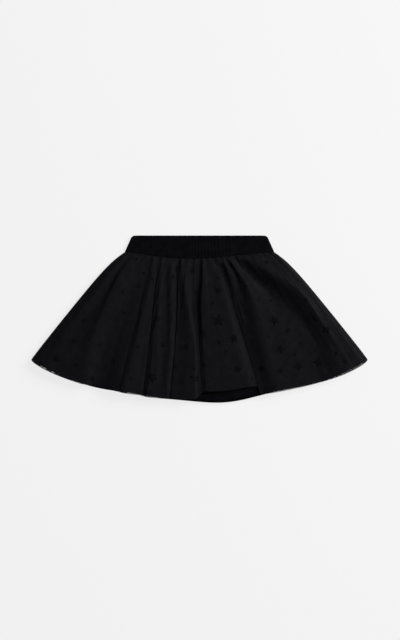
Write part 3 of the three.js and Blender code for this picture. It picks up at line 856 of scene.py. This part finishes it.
# %% Waistband
BAND_TOP_Y = 126.4
BAND_TOP_HALF_WIDTH = 101.5
BAND_CORNER = 4
BAND_WALL = 2.3
BAND_THICKNESS = 4.9
EDGE_ROUND = 0.7
FRONT_STEPS, TURN_RING_STEPS, BACK_STEPS = 440, 10, 220
BROAD_PITCH, FINE_PITCH = 5.1, 2.3  # of the upright gathers
GATHERED_AT, GATHERED_REACH, LEAST_GATHERED = 12, 38, 0.4
BAND_DIPS = [(35, 1.6, 0.8), (48, 1.4, 0.6)]  # place, width and depth
TOP_EDGE_WAVE = 0.1
GATHERS_END = 5  # the gathers fade out over this distance from the sides
UNDERSIDE_SHARE = 0.6  # the band lies on its underside, so the gathers are lower there


def band_half_width(share):
    straight = mix(BAND_TOP_HALF_WIDTH, SEAM_HALF_WIDTH, share)
    in_corner = max(0, 1 - share * (BAND_TOP_Y - SEAM_SIDE_Y) / BAND_CORNER)
    return straight - BAND_CORNER * (1 - math.sqrt(1 - in_corner**2))


def flat_ring(half_wide, low, high):
    """x and z round a flattened loop, and whether a point is on top (1), below (-1) or beside."""
    radius = (high - low) / 2
    flat = half_wide - radius
    turn = np.pi * np.arange(TURN_RING_STEPS) / TURN_RING_STEPS
    x = np.concatenate([
        np.linspace(-flat, flat, FRONT_STEPS, endpoint=False),
        flat + radius * np.sin(turn),
        np.linspace(flat, -flat, BACK_STEPS, endpoint=False),
        -flat - radius * np.sin(turn),
    ])
    z = np.concatenate([
        np.full(FRONT_STEPS, high),
        low + radius * (1 + np.cos(turn)),
        np.full(BACK_STEPS, low),
        low + radius * (1 - np.cos(turn)),
    ])
    side = np.repeat([1, 0, -1, 0], [FRONT_STEPS, TURN_RING_STEPS, BACK_STEPS, TURN_RING_STEPS])
    return x, z, side


def elastic_gathers(x, share):
    """Height of the upright gathers, 0 to 1."""
    bent = x + 0.6 * np.sin(3.1 * share + 0.05 * x)
    broad = 0.5 + 0.5 * np.cos(2 * math.pi * bent / BROAD_PITCH + 1.2 * np.sin(x / 11))
    fine = 0.5 + 0.5 * np.cos(2 * math.pi * bent / FINE_PITCH + 0.9 * np.sin(x / 7 + 2))
    near = np.exp(-(((x - GATHERED_AT) / GATHERED_REACH) ** 2))
    return mix(LEAST_GATHERED, 1, near) * mix(fine, broad, 0.6)


def band_row(share, inset, depth):
    wide = band_half_width(share) - inset
    x, z, side = flat_ring(wide, inset, BAND_THICKNESS - inset)
    dips = sum(deep * np.exp(-(((x - at) / across) ** 2)) for at, across, deep in BAND_DIPS)
    top = BAND_TOP_Y - np.where(side == 1, dips, 0) - TOP_EDGE_WAVE * elastic_gathers(x, 0)
    seam = cloth_y(np.clip(x / SEAM_HALF_WIDTH, -1, 1), 0) + GAP
    puff = elastic_gathers(x, share) * ease(0, GATHERS_END, wide - np.abs(x))
    z = z + depth * np.where(side == 1, puff, np.where(side == -1, UNDERSIDE_SHARE * puff, 0))
    return np.stack([x, mix(top, seam, share), z], 1) + SHIFT


def wrapped_shell(name, rings, material):
    """A closed shell from rings that are joined to each other and the last one to the first."""
    grid = np.array(rings)
    rows, columns = grid.shape[:2]
    a = np.arange(rows)[:, None] * columns
    b = (np.arange(rows)[:, None] + 1) % rows * columns
    i, j = np.arange(columns), (np.arange(columns) + 1) % columns
    faces = np.stack([a + i, b + i, b + j, a + j], 2).reshape(-1, 4).tolist()
    cut = np.stack([arc(grid, 1), arc(grid, 0)], 2).reshape(-1, 2)
    piece = add_mesh(name, grid.reshape(-1, 3), faces, material, cut)
    print(name, "triangles:", 2 * len(faces))
    return piece


ELASTIC_DARK, ELASTIC_LIGHT = (0.0030, 0.0030, 0.0038, 1), (0.0044, 0.0044, 0.0054, 1)
elastic = knit_material(
    "covered elastic", ELASTIC_DARK, ELASTIC_LIGHT, wale=0.8 * MM, course=0.7 * MM, sheen=0.01
)
GATHER_DEPTH = 0.45
ROUND_SHARE = EDGE_ROUND / (BAND_TOP_Y - SEAM_SIDE_Y)
BELOW_ROUNDING = 0.03  # share of the band's height where its flat outside starts
OUTSIDE_RINGS, INSIDE_RINGS = 22, 8
rings = []
for angle in np.radians([0, 30, 60]):
    inset = EDGE_ROUND * (1 - math.sin(angle))
    rings.append(band_row(ROUND_SHARE * (1 - math.cos(angle)), inset, 0.7 * GATHER_DEPTH))
outside = np.linspace(BELOW_ROUNDING, 1, OUTSIDE_RINGS)
rings += [band_row(share, 0, GATHER_DEPTH) for share in outside]
rings += [band_row(share, BAND_WALL, 0) for share in np.linspace(1, 0, INSIDE_RINGS)]
waistband = wrapped_shell("waistband_loop", rings, elastic)
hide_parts("waistband")

# %% [markdown]
# ## Waist seam
# The net and the linings are gathered into the lower edge of the band with one seam, which
# stands out as a narrow roll between them. A round tube would look like piping, so the roll is
# uneven, as gathered cloth makes it.


# %% Seam roll
ROLL_TALL, ROLL_HIGH = 0.95, 0.8  # radii of the roll, along the skirt and away from the table
ROLL_INSET, ROLL_DEPTH = 0.6, 1.0  # how far its middle lies inside the band's sides and faces
ROLL_UNEVEN = 0.25


def seam_ring(angle):
    x, z, _ = flat_ring(SEAM_HALF_WIDTH - ROLL_INSET, ROLL_DEPTH, BAND_THICKNESS - ROLL_DEPTH)
    y = cloth_y(np.clip(x / SEAM_HALF_WIDTH, -1, 1), 0) + GAP / 2
    tall = ROLL_TALL * (1 + ROLL_UNEVEN * np.sin(x * 1.9) * np.cos(x * 0.83))
    return np.stack([x, y + tall * math.cos(angle), z + ROLL_HIGH * math.sin(angle)], 1) + SHIFT


turns = np.linspace(0, 2 * math.pi, 10, endpoint=False)
waist_seam = wrapped_shell("waist_seam", [seam_ring(angle) for angle in turns], elastic)

# %% [markdown]
# ## Side seams
# Front and back of the net are joined down each side. The seam allowance is a narrow doubled
# strip between them, and it makes the skirt's sides look darker and firmer than the net alone.
# Two nets that lie on each other hide nearly all the cells, so the strip has a closed material.

# %% Side seam strips
SEAM_NET_DARK, SEAM_NET_LIGHT = (0.0058, 0.0055, 0.0072, 1), (0.0078, 0.0074, 0.0098, 1)
seam_net = knit_material(
    "doubled seam", SEAM_NET_DARK, SEAM_NET_LIGHT, wale=1.1 * MM, course=1.1 * MM, sheen=0.01
)
STRIP_AT_SEAM, STRIP_WIDE = 1.6, 6.2
STRIP_IN, STRIP_UP = 0.5, 0.4  # how far the strip stays inside the net's own rims
STRIP_THICKNESS = 0.5
STRIP_COLUMNS = 5
PUCKER_HEIGHT, PUCKER_RATE = 0.12, 90  # the rate is in radians over the length of the skirt


def side_seam(side, count=90):
    rows = []
    middle_z = (WALL + LAYER) / 2
    for down in rows_down(count):
        wide = mix(STRIP_AT_SEAM, STRIP_WIDE, ease(0, OPENED, down))
        x = side * (half_width(down) - STRIP_IN - wide * np.linspace(1, 0, STRIP_COLUMNS))
        y = cloth_y(x / half_width(down), down) + STRIP_UP
        pucker = PUCKER_HEIGHT * np.sin(down * PUCKER_RATE + side)
        rows.append(np.stack([x, y, np.full(STRIP_COLUMNS, middle_z + pucker)], 1)[:: side])
    return np.array(rows) + SHIFT


for name, side in (("side_seam_left", -1), ("side_seam_right", 1)):
    strip = thin_cloth(name, side_seam(side), STRIP_THICKNESS, seam_net)

# %% [markdown]
# ## Lining hem
# The jersey is turned up once and held by two rows of small stitches. They show where a fold of
# the net is lifted off the hem, and on the back. Each stitch is a small block of thread, because
# there are only some three hundred on each lining and they catch the light one by one.


# %% Hem stitches
STITCH_LONG, STITCH_WIDE, STITCH_HIGH, STITCH_PITCH = 2.0, 0.35, 0.25, 3.1
ROW_ABOVE_HEM, NEXT_ROW = 8, 3.5
STITCHES_START = 6  # this far in from the sides
STITCH_SUNK = 0.05


def boxes(centres, along, over, across):
    """Corner points and faces of small boxes given by three half-size vectors each."""
    signs = [(i, j, k) for i in (-1, 1) for j in (-1, 1) for k in (-1, 1)]
    corners = [centres + i * along + j * across + k * over for i, j, k in signs]
    points = np.stack(corners, 1).reshape(-1, 3)
    one = np.array([
        (0, 1, 3, 2), (4, 6, 7, 5), (0, 4, 5, 1), (2, 3, 7, 6), (0, 2, 6, 4), (1, 5, 7, 3)
    ])
    faces = (one[None] + 8 * np.arange(len(centres))[:, None, None]).reshape(-1, 4).tolist()
    return points, faces


def hem_stitches(name, grid, up):
    """Two stitch rows over the hem of a lining, on the side that "up" points to."""
    normal = grid_normals(grid)
    if normal[..., 2].mean() * up < 0:
        normal = -normal
    length = arc(grid, 0)
    centres, alongs = [], []
    for row_above in (ROW_ABOVE_HEM, ROW_ABOVE_HEM + NEXT_ROW):
        line, out = [], []
        for column in range(grid.shape[1]):
            t = np.interp(length[-1, column] - row_above, length[:, column], np.arange(len(grid)))
            low = min(int(t), len(grid) - 2)
            line.append(mix(grid[low, column], grid[low + 1, column], t - low))
            out.append(normal[low, column])
        line, out = np.array(line), np.array(out)
        far = np.concatenate([[0], np.cumsum(np.linalg.norm(np.diff(line, axis=0), axis=1))])
        at = np.arange(STITCHES_START, far[-1] - STITCHES_START, STITCH_PITCH)
        place = np.stack([np.interp(at, far, line[:, k]) for k in range(3)], 1)
        lift = np.stack([np.interp(at, far, out[:, k]) for k in range(3)], 1)
        ahead = np.stack([np.interp(at + 1, far, line[:, k]) for k in range(3)], 1) - place
        centres.append(place + lift * (JERSEY_THICKNESS / 2 + STITCH_HIGH / 2 - STITCH_SUNK))
        alongs.append(ahead / np.linalg.norm(ahead, axis=1, keepdims=True))
    centre, along = np.concatenate(centres), np.concatenate(alongs)
    over = np.tile([0.0, 0.0, 1.0], (len(centre), 1))
    across = np.cross(over, along)
    points, faces = boxes(
        centre, along * STITCH_LONG / 2, over * STITCH_HIGH / 2, across * STITCH_WIDE / 2
    )
    piece = add_mesh(name, points, faces, thread, smooth=False)
    print(name, "stitches:", len(centre))
    return piece


thread, _, shader = new_material("black thread")
plain_finish(shader, roughness=0.55, gloss=0.2, sheen=0.05)
shader.inputs["Base Color"].default_value = (0.0036, 0.0036, 0.0044, 1)
front_stitches = hem_stitches("hem_stitches_front", lining_front, 1)
back_stitches = hem_stitches("hem_stitches_back", lining_back, -1)

# %% [markdown]
# ## Stars
# Small flocked stars are scattered on the net, in several sizes and turned every way. Flat stars
# laid over the skirt would bridge its folds. Instead each point of a star is reached by walking
# along the cloth from the star's middle, so a star bends over creases and round folds with the
# net. Places and sizes are given in millimetres from the middle of the skirt. The back has
# the same stars in mirror image.

# %% Star table
# x, y, size, turn in degrees
STARS = [
    (29, -1, 17, 10), (113, -1, 14, 40), (-70, -86, 15, 0), (179, -64, 13, 25), (149, -70, 12, 60),
    (121, -44, 12, 15), (5, -20, 11, 50), (-214, -58, 12, 5), (29, 44, 11, 30), (52, -28, 11, 65),
    (58, -74, 11, 0), (94, -73, 11, 20), (191, -14, 11, 45), (-62, 2, 9, 10), (133, -16, 9, 35),
    (-10, 73, 9, 5), (-4, -88, 10, 55), (7, -67, 9, 30), (-173, -2, 8, 15), (-188, -32, 8, 50),
    (-55, -38, 8, 20), (-20, -41, 8, 0), (-40, 64, 8, 40), (122, -76, 8, 10), (173, 2, 8, 60),
    (-160, -89, 8, 35), (-149, -38, 8, 5), (-115, 41, 6, 25), (-113, 10, 6, 45), (-92, -40, 6, 0),
    (20, 25, 6, 20), (29, -34, 6, 55), (28, 62, 6, 35), (107, 29, 6, 10), (143, -52, 6, 30),
    (101, 86, 6, 50), (-185, -68, 6, 15), (-94, 91, 6, 0), (-70, 61, 6, 40), (113, -100, 6, 25),
    (-91, 50, 5, 60), (-103, -88, 5, 5), (-83, 70, 5, 30), (40, -47, 5, 45), (-8, -74, 5, 10),
    (79, -88, 5, 0), (103, -26, 5, 35), (151, -35, 5, 20), (-238, -64, 5, 55), (88, 29, 4, 15),
    (89, 1, 4, 40), (205, -50, 6, 10), (218, -62, 8, 35), (-140, 20, 4, 20), (-45, 22, 5, 25),
    (-35, -70, 5, 50), (160, 30, 5, 30), (70, 50, 5, 5), (-5, 40, 4, 15), (-128, -62, 5, 45),
]
TURN_MORE = 17  # besides its own turn, each star gets this many degrees more than the last one
print("stars in the table:", len(STARS))

# %% Lay the stars on the net
TRIANGLE_ROOM = 0.02  # a point this far outside a grid cell still counts as in it


def surface_point(grid, x, y, highest):
    """Grid place, in rows and columns, of the topmost or lowest cloth at a plan point."""
    a, b, c = grid[:-1, :-1], grid[1:, :-1], grid[:-1, 1:]
    ab, ac = (b - a)[..., :2], (c - a)[..., :2]
    to = np.array([x, y]) - a[..., :2]
    area = ab[..., 0] * ac[..., 1] - ab[..., 1] * ac[..., 0]
    area = np.where(np.abs(area) < 1e-9, 1e-9, area)
    t = (to[..., 0] * ac[..., 1] - to[..., 1] * ac[..., 0]) / area
    u = (ab[..., 0] * to[..., 1] - ab[..., 1] * to[..., 0]) / area
    low, high = -TRIANGLE_ROOM, 1 + TRIANGLE_ROOM
    inside = (t >= low) & (t < high) & (u >= low) & (u < high)
    if not inside.any():
        return None
    height = np.where(inside, a[..., 2], -1e9 if highest else 1e9)
    row, column = np.unravel_index(
        np.argmax(height) if highest else np.argmin(height), height.shape
    )
    return row + float(t[row, column]), column + float(u[row, column])


def between(table, row, column):
    """Bilinear value of a grid table at fractional rows and columns."""
    r = np.clip(row, 0, table.shape[0] - 1.001)
    c = np.clip(column, 0, table.shape[1] - 1.001)
    i, j = r.astype(int), c.astype(int)
    s, t = (r - i)[:, None], (c - j)[:, None]
    return mix(
        mix(table[i, j], table[i, j + 1], t), mix(table[i + 1, j], table[i + 1, j + 1], t), s
    )


STAR_ARMS, STAR_POINTS, STAR_RINGS = 5, 20, 3
STAR_REACH, STAR_WAIST = 0.62, 0.46  # tip and notch from the middle, of the size and of the tip


def star_outline(size, turn):
    """Points of a five-pointed star with straight sides round its middle, ring by ring."""
    angle = np.radians(turn) + np.arange(2 * STAR_ARMS) * math.pi / STAR_ARMS
    reach = size * STAR_REACH * np.tile([1, STAR_WAIST], STAR_ARMS)
    corners = np.stack([np.sin(angle), np.cos(angle)], 1) * reach[:, None]
    halfway = (corners + np.roll(corners, -1, axis=0)) / 2
    outline = np.stack([corners, halfway], 1).reshape(-1, 2)
    rings = [outline * (k + 1) / STAR_RINGS for k in range(STAR_RINGS)]
    return np.concatenate([[[0, 0]]] + rings)


def star_faces(first, count):
    """Faces of a thin closed star whose upper points start at first and lower ones follow."""
    faces = []
    ring = STAR_POINTS
    for base, turned in ((first, False), (first + count, True)):
        for k in range(ring):
            n = (k + 1) % ring
            sheet = [(base, base + 1 + k, base + 1 + n)]
            for low in range(base + 1, base + 1 + ring * (STAR_RINGS - 1), ring):
                sheet.append((low + k, low + ring + k, low + ring + n, low + n))
            faces += [f[::-1] if turned else f for f in sheet]
    rim = first + count - ring
    for k in range(ring):
        n = (k + 1) % ring
        faces.append((rim + k, rim + k + count, rim + n + count, rim + n))
    return faces


def walk_on_cloth(grid, row, column, offsets, steps=8):
    """Grid places reached from one place by walking each offset in mm along the cloth."""
    rows, columns = np.full(len(offsets), row), np.full(len(offsets), column)
    for _ in range(steps):
        down = between(grid, rows + 0.5, columns) - between(grid, rows - 0.5, columns)
        along = between(grid, rows, columns + 0.5) - between(grid, rows, columns - 0.5)
        along_length = np.linalg.norm(along, axis=1)
        slip = (down * along).sum(1) / along_length
        drop = np.sqrt((down * down).sum(1) - slip**2)
        row_steps = -offsets[:, 1] / steps / drop
        columns = columns + (offsets[:, 0] / steps - slip * row_steps) / along_length
        rows = rows + row_steps
    return rows, columns


def lay_stars(name, grid, highest, mirror, offset, thickness):
    normal = grid_normals(grid)
    if (normal[..., 2].mean() > 0) != highest:
        normal = -normal
    points, faces = [], []
    for number, (x, y, size, turn) in enumerate(STARS):
        place = surface_point(grid, mirror * x + SHIFT[0], y + SHIFT[1], highest)
        if place is None:
            continue
        offsets = star_outline(size, turn + TURN_MORE * number)
        row, column = walk_on_cloth(grid, *place, offsets)
        spot, away = between(grid, row, column), between(normal, row, column)
        faces += star_faces(len(points) * len(offsets), len(offsets))
        points += [spot + away * (offset + thickness), spot + away * offset]
    piece = add_mesh(name, np.concatenate(points), faces, flock)
    print(name, "stars:", len(points) // 2, "faces:", len(faces))
    return piece


flock, _, shader = new_material("black flock")
plain_finish(shader, roughness=0.9, gloss=0.0, sheen=0.02)
shader.inputs["Base Color"].default_value = (0.0043, 0.0042, 0.0052, 1)
stars_front = lay_stars(
    "stars_front", net_front, highest=True, mirror=1, offset=0.17, thickness=0.2
)
stars_back = lay_stars(
    "stars_back", net_back, highest=False, mirror=-1, offset=0.14, thickness=0.15
)
